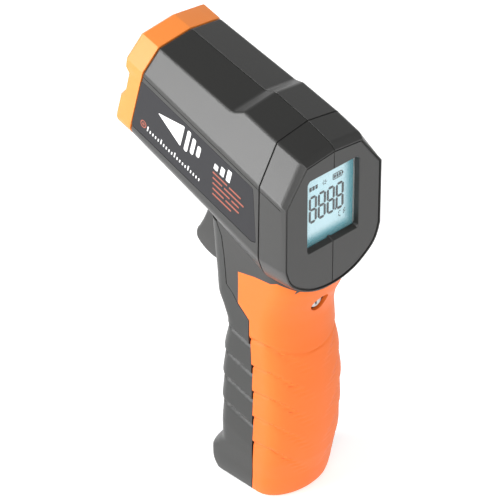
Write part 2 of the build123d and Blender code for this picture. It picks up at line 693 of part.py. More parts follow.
def battery_leads():
    """Two wires from the snap's rear edge up the duct to the main board."""
    start = (BATTERY_FRONT + BATTERY_BACK) / 2 + SNAP_REACH + 0.02
    leads = []
    for x in (LEAD_X, -LEAD_X):
        route = [(x, start, 65.0), (x, 11.7, 65.0), (x, 11.7, 76.0), (x, 13.8, 84.0), (x, 13.8, 95.9)]
        path = FilletPolyline(*route, radius=[1.8, 5.0, 5.0])
        section = Plane(origin=path @ 0, z_dir=path % 0) * Circle(LEAD_RADIUS)
        leads.append(sweep(section, path=path))
    return Compound(children=leads)


# ---------------------------------------------------------------- small parts
def door_hinge_pin():
    return cross_rod(HINGE_PIN_RADIUS, HINGE_Y, HINGE_Z, -12.0, 12.0)


def unit_switch():
    x_low, x_high = UNIT_SWITCH_X
    body = block(UNIT_SWITCH_X, (-12.6, -9.0), UNIT_SWITCH_Z)
    middle = (x_low + x_high) / 2
    room = SLIDER_HALF_WIDTH + 0.1
    return body - block((middle - room, middle + room), (-13.0, -11.4), (76.0, 80.9))


def unit_slider():
    middle = sum(UNIT_SWITCH_X) / 2
    return block((middle - SLIDER_HALF_WIDTH, middle + SLIDER_HALF_WIDTH), (-13.6, -11.5), (76.3, 78.5))


def cross_recess(radius, depth):
    arm = Box(2 * radius * RECESS_REACH, radius * RECESS_WIDTH, depth)
    return arm + Rot(0, 0, 90) * arm


def grip_screw():
    low, high = SCREW_HEAD
    head = Pos(0, 0, (low + high) / 2) * Cylinder(SCREW_HEAD_RADIUS, high - low)
    head = fillet(head.edges().group_by(Axis.Z)[-1], 0.5)
    shank = Pos(0, 0, (SCREW_TIP + low) / 2) * Cylinder(SCREW_SHANK_RADIUS, low - SCREW_TIP)
    recess = Pos(0, 0, high) * cross_recess(SCREW_HEAD_RADIUS, 2.0)
    return grip_screw_frame() * (head + shank - recess)


def housing_screws():
    screws = []
    for y, z, head_x in CASE_SCREWS:
        top = head_x - CASE_SCREW_HEAD_HEIGHT
        head = cross_rod(CASE_SCREW_HEAD_RADIUS, y, z, top, head_x)
        shank = cross_rod(CASE_SCREW_RADIUS, y, z, head_x, head_x + CASE_SCREW_LENGTH)
        recess = Pos(top, y, z) * Rot(0, 90, 0) * cross_recess(CASE_SCREW_HEAD_RADIUS, 1.6)
        screws.append((head + shank - recess).solids()[0])
    return Compound(children=screws)


# ---------------------------------------------------------------- build and write every part
def build():
    housing = housing_solid()
    return {
        "housing_left": housing_half(housing, 1),
        "housing_right": housing_half(housing, -1),
        "nose_bezel": nose_bezel(),
        "nose_plate": nose_plate(),
        "side_label_left": label_slab(1, LABEL_OUTLINE, 0.0, LABEL_THICKNESS),
        "side_label_right": label_slab(-1, LABEL_OUTLINE, 0.0, LABEL_THICKNESS),
        "display_window": display_window(),
        "lcd_panel": lcd_panel(),
        "lcd_frame": lcd_frame(),
        "backlight_panel": backlight_panel(),
        "contact_strip": contact_strip(),
        "main_board": main_board(),
        "main_chip": main_chip(),
        "sensor_tube": sensor_tube(),
        "ir_lens": ir_lens(),
        "thermopile_sensor": thermopile_sensor(),
        "sensor_board": sensor_board(),
        "laser_module": laser_module(),
        "trigger": trigger(),
        "trigger_pin": trigger_pin(),
        "trigger_spring": trigger_spring(),
        "trigger_switch": trigger_switch(),
        "switch_plunger": switch_plunger(),
        "battery": battery(),
        "battery_snap": battery_snap(),
        "battery_leads": battery_leads(),
        "battery_door": battery_door(),
        "door_hinge_pin": door_hinge_pin(),
        "back_strap": back_strap(),
        "grip_screw": grip_screw(),
        "housing_screws": housing_screws(),
        "unit_switch": unit_switch(),
        "unit_slider": unit_slider(),
    }


os.makedirs("parts", exist_ok=True)
for node, shape in build().items():
    export_step(shape, f"parts/{node}.step")
    print(f"{node:20s} solids {len(shape.solids()):2d}  volume {shape.volume:10.1f}  valid {shape.is_valid}")
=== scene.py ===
# %% [markdown]
# # An infrared thermometer, dressed piece by piece
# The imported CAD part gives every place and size. This lesson loads it as a fixed frame, then
# builds the pieces that are seen, finishes them as moulded plastic, rubber, film and glass,
# and lights them on a pale table. Lengths in the tables are millimetres; Blender's are metres.

import json
from math import cos, pi, radians, sin

import bmesh
import bpy
from mathutils import Matrix, Vector


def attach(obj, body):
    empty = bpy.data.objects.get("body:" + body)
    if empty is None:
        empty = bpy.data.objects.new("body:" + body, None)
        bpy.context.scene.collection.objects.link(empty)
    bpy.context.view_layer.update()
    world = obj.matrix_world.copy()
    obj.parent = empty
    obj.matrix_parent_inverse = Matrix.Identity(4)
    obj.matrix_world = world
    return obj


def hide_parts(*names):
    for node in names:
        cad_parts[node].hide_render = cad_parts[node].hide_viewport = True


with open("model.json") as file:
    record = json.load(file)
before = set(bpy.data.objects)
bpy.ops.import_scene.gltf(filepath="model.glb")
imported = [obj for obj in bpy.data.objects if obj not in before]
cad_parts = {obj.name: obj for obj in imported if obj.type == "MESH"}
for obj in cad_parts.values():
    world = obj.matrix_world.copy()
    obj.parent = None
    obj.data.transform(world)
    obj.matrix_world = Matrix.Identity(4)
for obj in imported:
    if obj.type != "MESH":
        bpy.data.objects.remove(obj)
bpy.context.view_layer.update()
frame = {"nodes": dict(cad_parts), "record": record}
nodes = frame["nodes"]
MM = 0.001

# %% [markdown]
# ## Tools used all through
# Operators work on whatever is selected, so every step starts from an empty selection. Most
# moulded shapes here are tubes: a flat grid is laid out with as many columns as the outline has
# points, each row is carried to one outline, and the two edges that meet are merged.

# %% Selection and modifier helpers
def deselect():
    if bpy.context.mode != "OBJECT":
        bpy.ops.object.mode_set(mode="OBJECT")
    bpy.ops.object.select_all(action="DESELECT")


def pick(obj):
    deselect()
    obj.select_set(True)
    bpy.context.view_layer.objects.active = obj
    return obj


def named(name):
    """Name the object that an operator has just added, and its mesh."""
    obj = bpy.context.object
    obj.name = name
    obj.data.name = name
    return obj


def edit_all(obj):
    pick(obj)
    bpy.ops.object.mode_set(mode="EDIT")
    bpy.ops.mesh.select_all(action="SELECT")


def done():
    bpy.ops.object.mode_set(mode="OBJECT")


def settle(obj):
    """Put the object's place, turn and size into its mesh."""
    pick(obj)
    bpy.ops.object.transform_apply(location=True, rotation=True, scale=True)
    return obj


def modify(obj, kind, **settings):
    """Add a modifier, set it and apply it."""
    pick(obj)
    modifier = obj.modifiers.new(kind.lower(), kind)
    for key, value in settings.items():
        setattr(modifier, key, value)
    bpy.ops.object.modifier_apply(modifier=modifier.name)
    return obj


def cut(obj, tool, operation="DIFFERENCE"):
    """Boolean with another solid, which is thrown away afterwards."""
    modify(obj, "BOOLEAN", operation=operation, object=tool, solver="EXACT")
    bpy.data.objects.remove(tool)
    return obj


def smooth(obj, angle=32.0):
    pick(obj)
    bpy.ops.object.shade_smooth_by_angle(angle=radians(angle))
    return obj


def duplicate(obj, name):
    pick(obj)
    bpy.ops.object.duplicate()
    return named(name)


def joined(name, parts):
    """One object out of several, without merging what they share."""
    deselect()
    for part in parts:
        part.select_set(True)
    bpy.context.view_layer.objects.active = parts[0]
    bpy.ops.object.join()
    return named(name)


def finish_piece(obj, body, slot, material, *replaced):
    """Give a piece its material and say what it rides on and stands for."""
    obj.data.materials.clear()
    obj.data.materials.append(material)
    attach(obj, body)
    if replaced:
        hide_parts(*replaced)
    print(obj.name, len(obj.data.polygons), "faces on", body)
    return obj


# %% Tubes from outlines
def tube(name, rings, closed_loop=False):
    """A grid wrapped into a tube through the rings. Its ends are capped, unless the loop is closed."""
    around, rows = len(rings[0]), len(rings) - (0 if closed_loop else 1)
    deselect()
    bpy.ops.mesh.primitive_grid_add(x_subdivisions=around, y_subdivisions=rows, size=1.0)
    obj = named(name)
    for vertex in obj.data.vertices:
        column = round((vertex.co.x + 0.5) * around) % around
        row = round((vertex.co.y + 0.5) * rows) % len(rings)
        vertex.co = Vector(rings[row][column]) * MM
    edit_all(obj)
    bpy.ops.mesh.remove_doubles(threshold=1e-7)
    if not closed_loop:
        bpy.ops.mesh.select_all(action="DESELECT")
        bpy.ops.mesh.select_mode(type="EDGE")
        bpy.ops.mesh.select_non_manifold()
        bpy.ops.mesh.fill_holes(sides=0)
        bpy.ops.mesh.select_all(action="SELECT")
    bpy.ops.mesh.normals_make_consistent(inside=False)
    done()
    return obj


def between(ring_a, ring_b, share):
    """The ring that lies part of the way from one ring to another."""
    return [Vector(a).lerp(Vector(b), share) for a, b in zip(ring_a, ring_b)]


def inset_ring(ring, depth):
    """The ring drawn inwards in its own plane, every side by the same depth."""
    points = [Vector(p) for p in ring]
    count = len(points)
    normal = Vector((0, 0, 0))
    for a, b in zip(points, points[1:] + points[:1]):
        normal += a.cross(b)
    normal.normalize()
    moved = []
    for i, point in enumerate(points):
        before = (point - points[i - 1]).normalized()
        after = (points[(i + 1) % count] - point).normalized()
        side_a, side_b = normal.cross(before), normal.cross(after)
        corner = side_a + side_b
        moved.append(point + corner * (depth / max(0.35, 1.0 + side_a.dot(side_b))))
    return moved


def curve_through(points, first, last, steps):
    """Points of a smooth curve through the given ones; first and last steer its ends."""
    chain = [Vector(p) for p in (first, *points, last)]
    out = []
    for p0, p1, p2, p3 in zip(chain, chain[1:], chain[2:], chain[3:]):
        for k in range(steps):
            t = k / steps
            out.append(0.5 * ((2 * p1) + (p2 - p0) * t + (2 * p0 - 5 * p1 + 4 * p2 - p3) * t * t
                              + (3 * p1 - p0 - 3 * p2 + p3) * t ** 3))
    out.append(chain[-2])
    return out


# %% Plates, prisms and rods
def plate(name, points, push):
    """A flat face through the points, extruded along push into a closed solid."""
    deselect()
    bpy.ops.mesh.primitive_circle_add(vertices=len(points), fill_type="NGON")
    obj = named(name)
    for vertex, point in zip(obj.data.vertices, points):
        vertex.co = Vector(point) * MM
    edit_all(obj)
    bpy.ops.mesh.extrude_region_move(TRANSFORM_OT_translate={"value": Vector(push) * MM})
    bpy.ops.mesh.select_all(action="SELECT")
    bpy.ops.mesh.normals_make_consistent(inside=False)
    done()
    return obj


def side_prism(name, outline, half_width):
    """A prism across X from an outline of (y, z) points."""
    return plate(name, [(-half_width, y, z) for y, z in outline], (2 * half_width, 0, 0))


def block(name, low, high):
    """A box between two opposite corners."""
    low, high = Vector(low) * MM, Vector(high) * MM
    deselect()
    bpy.ops.mesh.primitive_cube_add(size=1.0, location=(low + high) / 2)
    obj = named(name)
    obj.scale = high - low
    return settle(obj)


def rod(name, radius, start, end, sides=48):
    """A cylinder from one point to another."""
    start, end = Vector(start) * MM, Vector(end) * MM
    deselect()
    bpy.ops.mesh.primitive_cylinder_add(radius=radius * MM, depth=(end - start).length, vertices=sides)
    obj = named(name)
    turn = (end - start).to_track_quat("Z", "Y").to_matrix().to_4x4()
    obj.matrix_world = Matrix.Translation((start + end) / 2) @ turn
    return settle(obj)


# %% [markdown]
# ## The barrel frame
# The barrel is pitched nose-up, so its own shapes are drawn in a tilted frame: "forward" runs
# to the nose and "up" is square to that.

# %% Barrel frame
PITCH = radians(15.5)
AXIS_Y, AXIS_Z = 21.5, 114.5
NOSE_BACK, NOSE_FRONT = 68.5, 76.7
NOSE_HALF_WIDTH, SIDE_TAPER = 18.0, 0.0459
FACE_Y = 24.0
GROOVE_Y = 12.2
JOINT_HALF, JOINT_DEPTH = 0.2, 0.45
DOWN = Vector((0, -sin(PITCH), -cos(PITCH)))
FORWARD = Vector((0, -cos(PITCH), sin(PITCH)))
INTO_FACE = Vector((0, -1, 0))
UPRIGHT_INWARD = (Vector((0, 0, -1)), Vector((0, 0, 1)))


def barrel_point(x, forward, up):
    """A place in the tilted frame as a place in the object."""
    y = AXIS_Y - forward * cos(PITCH) + up * sin(PITCH)
    z = AXIS_Z + forward * sin(PITCH) + up * cos(PITCH)
    return Vector((x, y, z))


def side_x(forward):
    """Half the width between the side flats, which part slightly towards the rear."""
    return NOSE_HALF_WIDTH + (NOSE_BACK - forward) * SIDE_TAPER


def full_ring(half, inward):
    """Close an outline from its +X half: straight facets above, a smooth curve under the chin.
    The points on the middle plane are sunk along inward and against it, for the joint line."""
    side, corner = half[2], half[3]
    steer = corner.lerp(side, 0.16)
    beyond = Vector((-half[-2].x, half[-2].y, half[-2].z))
    chin = curve_through(half[3:], steer, beyond, 5)
    top = half[0] + Vector(inward[0]) * JOINT_DEPTH
    bottom = chin[-1] + Vector(inward[1]) * JOINT_DEPTH
    lip_top = half[0].lerp(half[1], JOINT_HALF / half[1].x)
    lip_bottom = chin[-1].lerp(chin[-2], JOINT_HALF / chin[-2].x)
    right = [top, lip_top] + half[1:3] + chin[:-1] + [lip_bottom, bottom]
    return right + [Vector((-p.x, p.y, p.z)) for p in reversed(right[1:-1])]


def tilted_ring(forward, ridge, edge_x, edge, crease, corner, chin):
    """A section square to the barrel. The heights go from the ridge down to the lower corner."""
    width = side_x(forward)
    points = [(0, ridge), (edge_x, edge), (width, crease), (width, corner)] + chin
    return full_ring([barrel_point(x, forward, up) for x, up in points], (DOWN, -DOWN))


def upright_ring(y, points, inward=UPRIGHT_INWARD):
    """A section in a vertical plane from (x, height over the axis) points."""
    return full_ring([Vector((x, y, AXIS_Z + z)) for x, z in points], inward)


def groove_plane_ring():
    """The section of the tilted barrel in the vertical plane of the groove."""
    points = []
    for x, up in ((0, 22.2), (13.0, 20.2), (None, 7.8), (None, -17.3)):
        forward = (AXIS_Y + up * sin(PITCH) - GROOVE_Y) / cos(PITCH)
        points.append(barrel_point(side_x(forward) if x is None else x, forward, up))
    for x, below in ((17.8, 22.9), (11.8, 27.4), (6.0, 29.3), (0, 29.9)):
        points.append(Vector((x, GROOVE_Y, AXIS_Z - below)))
    return full_ring(points, UPRIGHT_INWARD)


RAMP_FOOT, RAMP_HEAD = 34.1, 30.4
NOSE_CHIN = [(15.6, -19.0), (10.6, -21.2), (5.0, -21.7), (0, -21.8)]
FOOT_CHIN = [(16.4, -21.0), (11.0, -23.8), (5.2, -24.5), (0, -24.7)]
HEAD_CHIN = [(16.5, -21.1), (11.0, -23.9), (5.2, -24.7), (0, -24.9)]
BEVEL_OUTLINE = [(0, 22.0), (12.7, 20.6), (21.1, 8.0), (21.1, -15.6),
                 (18.5, -21.9), (12.4, -26.6), (6.4, -28.8), (0, -29.5)]
FACE_OUTLINE = [(0, 20.3), (12.1, 19.0), (20.9, 7.4), (20.9, -15.4),
                (18.3, -21.6), (12.2, -26.2), (6.3, -28.4), (0, -29.1)]

# %% [markdown]
# ## The barrel shell
# The real shell is two thin halves of satin plastic with a wall of about two millimetres. One
# closed skin does for both: the rings run along the outside from the nose to the display face,
# over the rim, across the face, into the window and back along the inside.

# %% Rings of the barrel
NOSE_GAP = 0.15
nose_ring = tilted_ring(NOSE_BACK - NOSE_GAP, 18.8, 13.1, 16.8, 8.4, -15.3, NOSE_CHIN)
foot_ring = tilted_ring(RAMP_FOOT, 19.8, 13.7, 17.8, 8.1, -16.4, FOOT_CHIN)
head_ring = tilted_ring(RAMP_HEAD, 22.3, 12.6, 20.3, 8.1, -16.5, HEAD_CHIN)
groove_ring = groove_plane_ring()
bevel_ring = upright_ring(21.9, BEVEL_OUTLINE)
face_ring = upright_ring(FACE_Y, FACE_OUTLINE)
print(len(nose_ring), "points in each ring")


def on_face(depth, inset):
    """A ring on the display face: drawn inwards, pushed in, its joint line sunk into the face."""
    flat = inset_ring(upright_ring(FACE_Y, FACE_OUTLINE, (Vector(), Vector())), inset)
    out = [p + INTO_FACE * depth for p in flat]
    for middle in (0, len(out) // 2):
        out[middle] = out[middle] + INTO_FACE * JOINT_DEPTH
    return out


def window_ring(y, half_width, low, high, corner=0.9, sink=0.0):
    """The display opening with as many points as the other rings, in the same order."""
    bottom = len(nose_ring) // 2
    turn = 5
    half = [Vector((0, y - sink, high)), Vector((JOINT_HALF, y, high)),
            Vector((half_width - corner, y, high)), Vector((half_width, y, high - corner))]
    steps = bottom - 5
    for k in range(steps + 1):
        if k <= turn:
            angle = pi / 2 * k / turn
            x = half_width - corner * (1 - cos(angle))
            half.append(Vector((x, y, low + corner * (1 - sin(angle)))))
        else:
            share = (k - turn) / (steps - turn)
            reach = half_width - corner
            half.append(Vector((reach + (JOINT_HALF - reach) * share, y, low)))
    half.append(Vector((0, y - sink, low)))
    return half + [Vector((-p.x, p.y, p.z)) for p in reversed(half[1:-1])]


# %% Build the barrel shell
GROOVE, GROOVE_DEPTH = 0.36, 0.5
HEAD_TO_GROOVE, GROOVE_TO_BEVEL = 20.0, 9.7
PANEL_DEPTH, RIM_DEPTH, WALL = 0.25, 0.75, 2.2
to_groove = 1 - GROOVE / HEAD_TO_GROOVE
after_groove = GROOVE / GROOVE_TO_BEVEL
barrel_rings = [
    nose_ring,
    foot_ring,
    head_ring,
    between(head_ring, groove_ring, to_groove),
    inset_ring(between(head_ring, groove_ring, to_groove + 0.004), GROOVE_DEPTH),
    inset_ring(between(groove_ring, bevel_ring, after_groove * 0.4), GROOVE_DEPTH),
    between(groove_ring, bevel_ring, after_groove * 0.6),
    bevel_ring,
    face_ring,
    on_face(0.0, 0.4),
    on_face(RIM_DEPTH, 0.45),
    on_face(RIM_DEPTH, 0.85),
    on_face(PANEL_DEPTH, 0.9),
    window_ring(FACE_Y - PANEL_DEPTH, 11.2, 101.3, 127.8, sink=JOINT_DEPTH),
    window_ring(21.55, 10.8, 102.5, 127.5, sink=0.1),
    window_ring(21.52, 12.6, 100.1, 129.0),
    [Vector((p.x, 21.0, p.z)) for p in inset_ring(bevel_ring, WALL)],
    inset_ring(groove_ring, WALL),
    inset_ring(head_ring, WALL),
    inset_ring(foot_ring, WALL),
    inset_ring(nose_ring, WALL),
]
barrel = tube("barrel_shell", barrel_rings, closed_loop=True)

# %% [markdown]
# Moulded edges are never razor sharp. Edges get a bevel weight by where they are: broad on the
# barrel's long creases and the ramp, narrow round the rim, the window and the groove.

# %% Round the barrel's edges
def weigh_edges(obj, rule, sharper_than=12.0):
    """Set each edge's bevel weight from rule(its middle in mm, its direction)."""
    mesh = bmesh.new()
    mesh.from_mesh(obj.data)
    layer = mesh.edges.layers.float.new("bevel_weight_edge")
    count = 0
    for edge in mesh.edges:
        if len(edge.link_faces) == 2:
            angle = edge.calc_face_angle(0.0) * 180 / pi
            if angle > sharper_than:
                start, end = (vertex.co for vertex in edge.verts)
                edge[layer] = rule((start + end) / 2 / MM, (end - start).normalized())
                count += edge[layer] > 0
    mesh.to_mesh(obj.data)
    mesh.free()
    return count


def barrel_rule(middle, direction):
    """None on the joint line, little round the display face, least at the groove, else broad."""
    if abs(middle.x) < 0.6:
        return 0.0
    if middle.y > 22.4:
        return 0.2
    if abs(middle.y - GROOVE_Y) < 0.9:
        return 0.08
    return 0.8


count = weigh_edges(barrel, barrel_rule)
modify(barrel, "BEVEL", limit_method="WEIGHT", width=1.0 * MM, segments=3,
       use_clamp_overlap=False, miter_outer="MITER_ARC")
print("rounded", count, "edges")

# %% [markdown]
# The trigger swings through a slot in the underside, the shell screws sit in counterbores on the
# right. A fine groove runs along each side flat just under the chamfer.

# %% Cut the slot, the screw holes and the grooves
BEYOND = 24.0
SLOT_HALF = 5.8
TRIGGER_SLOT = [(-32.0, 71.8), (-10.6, 71.8), (-8.6, 96.0),
                (-8.6, 107.6), (-27.6, 107.6), (-32.0, 99.0)]
CASE_SCREWS = [(56.0, -16.9, 13.8), (24.0, -18.0, 16.6)]
CASE_SCREW_RADIUS = 2.1
CREASE_DROP, CREASE_WIDTH, CREASE_DEPTH, CREASE_OUT = 1.0, 0.7, 0.35, 0.6
cut(barrel, side_prism("slot", TRIGGER_SLOT, SLOT_HALF))
for forward, up, head in CASE_SCREWS:
    start, end = barrel_point(-BEYOND, forward, up), barrel_point(-head, forward, up)
    cut(barrel, rod("screw_hole", CASE_SCREW_RADIUS, start, end))
for side in (1, -1):
    sections = []
    for ring in (nose_ring, foot_ring, head_ring, groove_ring, bevel_ring):
        crease, down = ring[3], (ring[4] - ring[3]).normalized()
        corners = []
        for drop, out in ((0.0, CREASE_OUT), (CREASE_WIDTH, CREASE_OUT), (CREASE_WIDTH / 2, -CREASE_DEPTH)):
            corner = crease + down * (CREASE_DROP + drop)
            corners.append(Vector((side * (corner.x + out), corner.y, corner.z)))
        sections.append(corners)
    cut(barrel, tube("crease_groove", sections))
print("barrel", len(barrel.data.polygons), "faces")

# %% [markdown]
# ## The grip's skin
# The grip is one flowing shape shared by four mouldings, so its skin is made once as a smooth
# stack of sections: flat sides, an elliptical front and a rounder heel. Each row of the table is a
# height, then the half-width, the front, the rear and the depths of the front and rear roundings.
# Each cover is the part of that skin inside its own zone.

# %% Grip sections
GRIP = [
    (0.0, 13.3, -16.2, 13.2, 5.0, 8.5), (1.4, 14.5, -17.5, 14.6, 5.0, 9.0),
    (6.0, 15.3, -18.7, 15.8, 5.0, 9.3), (9.6, 15.5, -18.6, 16.5, 5.0, 9.5),
    (12.6, 15.7, -16.9, 17.2, 6.2, 9.5), (16.0, 15.9, -15.1, 18.0, 7.5, 9.5),
    (28.0, 16.1, -15.0, 19.2, 7.5, 9.5), (41.0, 16.1, -14.7, 19.4, 7.5, 9.5),
    (53.0, 16.0, -13.9, 18.2, 7.5, 9.5), (63.0, 15.8, -12.6, 16.6, 7.5, 9.8),
    (68.0, 15.6, -14.6, 16.5, 7.5, 10.0), (73.0, 15.5, -17.2, 17.4, 7.8, 10.3),
    (80.0, 15.4, -18.0, 20.6, 8.0, 10.6), (86.0, 15.5, -18.6, 22.6, 8.0, 10.6),
    (93.0, 15.8, -19.0, 20.0, 8.0, 10.0), (101.0, 16.2, -19.4, 15.0, 8.0, 8.0),
]


def slopes(values, places):
    """Slopes of a monotone curve through a table, so that nothing overshoots."""
    rises = [(b - a) / (q - p) for a, b, p, q in zip(values, values[1:], places, places[1:])]
    out = [rises[0]]
    for a, b in zip(rises, rises[1:]):
        out.append(0.0 if a * b <= 0 else 2 * a * b / (a + b))
    return out + [rises[-1]]


GRIP_TOP = GRIP[-1][0]
GRIP_Z = [row[0] for row in GRIP]
GRIP_SLOPES = [slopes([row[k] for row in GRIP], GRIP_Z) for k in range(1, 6)]


def grip_row(z):
    """Half-width, front, rear and the two roundings of the grip at a height."""
    k = max(i for i, place in enumerate(GRIP_Z) if place <= max(z, 0.0))
    k = min(k, len(GRIP) - 2)
    span = GRIP_Z[k + 1] - GRIP_Z[k]
    t = min(max((z - GRIP_Z[k]) / span, 0.0), 1.0)
    out = []
    for column, slope in enumerate(GRIP_SLOPES, start=1):
        a, b = GRIP[k][column], GRIP[k + 1][column]
        out.append(a * (1 + 2 * t) * (1 - t) ** 2 + b * t * t * (3 - 2 * t)
                   + span * (slope[k] * t * (1 - t) ** 2 - slope[k + 1] * t * t * (1 - t)))
    return out


ARC_STEPS, SIDE_STEPS = 28, 8


def grip_ring(z, inset=0.0):
    """One section of the grip, drawn inwards by inset."""
    width, front, rear, front_round, rear_round = grip_row(z)
    width -= inset
    ring = []
    for k in range(ARC_STEPS):
        angle = pi * k / ARC_STEPS
        ring.append((width * cos(angle), rear - rear_round + (rear_round - inset) * sin(angle)))
    low, high = front + front_round, rear - rear_round
    ring += [(-width, high + (low - high) * k / SIDE_STEPS) for k in range(SIDE_STEPS)]
    for k in range(ARC_STEPS):
        angle = pi + pi * k / ARC_STEPS
        ring.append((width * cos(angle), front + front_round + (front_round - inset) * sin(angle)))
    ring += [(width, low + (high - low) * k / SIDE_STEPS) for k in range(SIDE_STEPS)]
    return [Vector((x, y, z)) for x, y in ring]


def grip_solid(name, inset=0.0, top=GRIP_TOP, step=1.2, over=0.0, shape=None):
    """The grip as one closed solid. shape moves its points, and over lets it run past both ends."""
    heights = [0.0, 0.35, 0.8, 1.4]
    while heights[-1] < top:
        heights.append(min(heights[-1] + step, top))
    rings = [grip_ring(z, inset) for z in heights]
    if shape:
        rings = [[shape(p) for p in ring] for ring in rings]
    if over:
        rings = [[p - Vector((0, 0, over)) for p in rings[0]]] + rings
        rings.append([p + Vector((0, 0, over)) for p in rings[-1]])
    return tube(name, rings)


# %% [markdown]
# The zones are outlines seen from the side. A neighbour's edge is the same line moved by the gap.

# %% Zones
GAP = 0.35
DOOR_EDGE = [(1.5, -1.0), (2.1, 0.0), (3.1, 3.0), (3.7, 7.0), (4.1, 13.6), (4.4, 28.0),
             (4.2, 40.0), (3.9, 51.4), (2.6, 61.0), (2.3, 68.4), (-2.7, 72.1), (-5.1, 75.0),
             (-8.0, 77.2), (-8.9, 87.8), (-9.6, 94.7), (-11.6, 99.4)]
DOOR_CORNER = 9
BEHIND_DOOR = [(y + GAP, z) for y, z in DOOR_EDGE]
DOOR_ZONE = DOOR_EDGE + [(-40, 99.4), (-40, -1.0)]
STRAP_TOP = [(-2.5, 84.4), (5.0, 86.0), (12.0, 86.8), (30.0, 94.5)]
STRAP_FRONT = [(-2.5, 72.6)]
STRAP_ZONE = BEHIND_DOOR[:DOOR_CORNER + 1] + STRAP_FRONT + STRAP_TOP + [(30.0, -1.0)]
NECK_TOP = [(-11.0, 103.0), (28.0, 103.0)]
NECK_ZONE = BEHIND_DOOR[DOOR_CORNER:] + NECK_TOP + STRAP_TOP[::-1] + STRAP_FRONT

# %% [markdown]
# ## Shingles
# The grip is moulded in shallow steps like shingles, which give the fingers and the palm a hold:
# each step ends in a lip, with a groove under it. They are deep on the front cover and fade out
# round the heel on the strap.

# %% Shingles
SLOPE = sin(PITCH) / cos(PITCH)
DOOR_LIPS = [64.2, 53.6, 43.6, 33.6]
STRAP_LIPS = [62.1, 52.0, 42.0, 32.0, 22.0]
ENTRY_LENGTH, GROOVE_LENGTH, SHINGLE_LENGTH = 0.35, 1.5, 9.0
DOOR_GROOVE, DOOR_STEP = 0.7, 0.6
STRAP_GROOVE, STRAP_STEP = 0.35, 0.6
LINE_HEIGHT, LINE_RISE, LINE_HALF, LINE_DEPTH = 57.2, 4.9, 0.35, 0.3
GRIP_FRONT_Y, GRIP_MIDDLE_Y, GRIP_SIDE_X = -14.5, 4.0, 16.0


def sunk(point, depth):
    """The point moved towards the middle of its section."""
    width, front, rear, _, _ = grip_row(point.z)
    centre = Vector((0, (front + rear) / 2, point.z))
    return point + (centre - point).normalized() * depth


def shingle_depth(below, groove, step):
    """How deep the skin lies at a distance under a lip: the groove first, then the fading step."""
    if not 0.0 < below < SHINGLE_LENGTH:
        return 0.0
    entry = min(1.0, below / ENTRY_LENGTH)
    ramp = min(1.0, max(0.0, (GROOVE_LENGTH - below) / 0.6))
    return entry * (groove * ramp + step * (1 - below / SHINGLE_LENGTH))


def door_skin(point):
    """Steps that run parallel to the barrel."""
    level = point.z + (point.y - GRIP_FRONT_Y) * SLOPE
    return sunk(point, max(shingle_depth(lip - level, DOOR_GROOVE, DOOR_STEP) for lip in DOOR_LIPS))


def strap_skin(point):
    """Soft ridges that start at the door's edge and die out round the heel, and one fine line."""
    across = abs(point.x)
    reach = min(1.0, max(0.0, (across - 2.0) / 8.0))
    level = point.z + 1.1 * (GRIP_SIDE_X - across) - 0.14 * (point.y - GRIP_MIDDLE_Y)
    depth = max(shingle_depth(lip - level, STRAP_GROOVE, STRAP_STEP) for lip in STRAP_LIPS) * reach
    off_line = abs(point.z - LINE_HEIGHT - LINE_RISE * (across / GRIP_SIDE_X) ** 2)
    return sunk(point, max(depth, LINE_DEPTH if off_line < LINE_HALF else 0.0))


# %% [markdown]
# ## The back strap
# A soft orange palm strap lies over the back of the grip. It is the skin behind the door's edge,
# 1.5 mm thick, with a counterbore for its screw. At the top it stops short of the barrel.

# %% Back strap
STRAP_WALL = 1.5
SCREW_PLACE, SCREW_WELL_RADIUS = Vector((0, 18.6, 75.7)), 3.4
HALF_WELL = Vector((0, 6, 0))
NECK_BAND = Vector((0, 0, -1.4))
lowered = [[p + NECK_BAND for p in ring]
           for ring in (nose_ring, foot_ring, head_ring, groove_ring, bevel_ring, face_ring)]

strap = grip_solid("palm_strap", step=0.45, shape=strap_skin)
cut(strap, grip_solid("strap_inside", STRAP_WALL, over=1.0))
cut(strap, side_prism("strap_zone", STRAP_ZONE, BEYOND), "INTERSECT")
cut(strap, tube("barrel_room", lowered))
cut(strap, rod("screw_well", SCREW_WELL_RADIUS, SCREW_PLACE - HALF_WELL, SCREW_PLACE + HALF_WELL))
smooth(strap, 40)

# %% [markdown]
# ## The neck
# Between the covers and the barrel the shell itself shows. It spreads smoothly into the barrel's
# lower edges and is slotted for the trigger. A narrow band of it also follows the barrel round the
# top of the strap.

# %% Neck
neck = grip_solid("neck_shell")
cut(neck, side_prism("neck_zone", NECK_ZONE, BEYOND), "INTERSECT")
cut(neck, side_prism("slot", TRIGGER_SLOT, SLOT_HALF))
band = grip_solid("neck_band")
cut(band, tube("barrel_room", lowered), "INTERSECT")
cut(band, side_prism("band_zone", STRAP_ZONE, BEYOND), "INTERSECT")
neck = joined("neck_shell", [neck, band])
smooth(neck, 40)

# %% [markdown]
# ## The battery door
# The front cover wraps the battery and reaches up on both sides of the trigger as two ears, with a
# gap for the trigger between them. Its inside is cleared for the battery.

# %% Battery door
DOOR_WALL = 1.6
EAR_GAP, EAR_GAP_HALF = [(-40, 71.4), (10, 71.4), (10, 101), (-40, 101)], 6.2
BATTERY_ROOM = ((-13.35, -9.25, 15.25), (13.35, 8.65, 62.35))
door = grip_solid("grip_door", step=0.4, shape=door_skin)
cut(door, grip_solid("door_inside", DOOR_WALL, over=1.0))
cut(door, side_prism("door_zone", DOOR_ZONE, BEYOND), "INTERSECT")
cut(door, side_prism("ear_gap", EAR_GAP, EAR_GAP_HALF))
cut(door, block("battery_room", *BATTERY_ROOM))
smooth(door, 40)

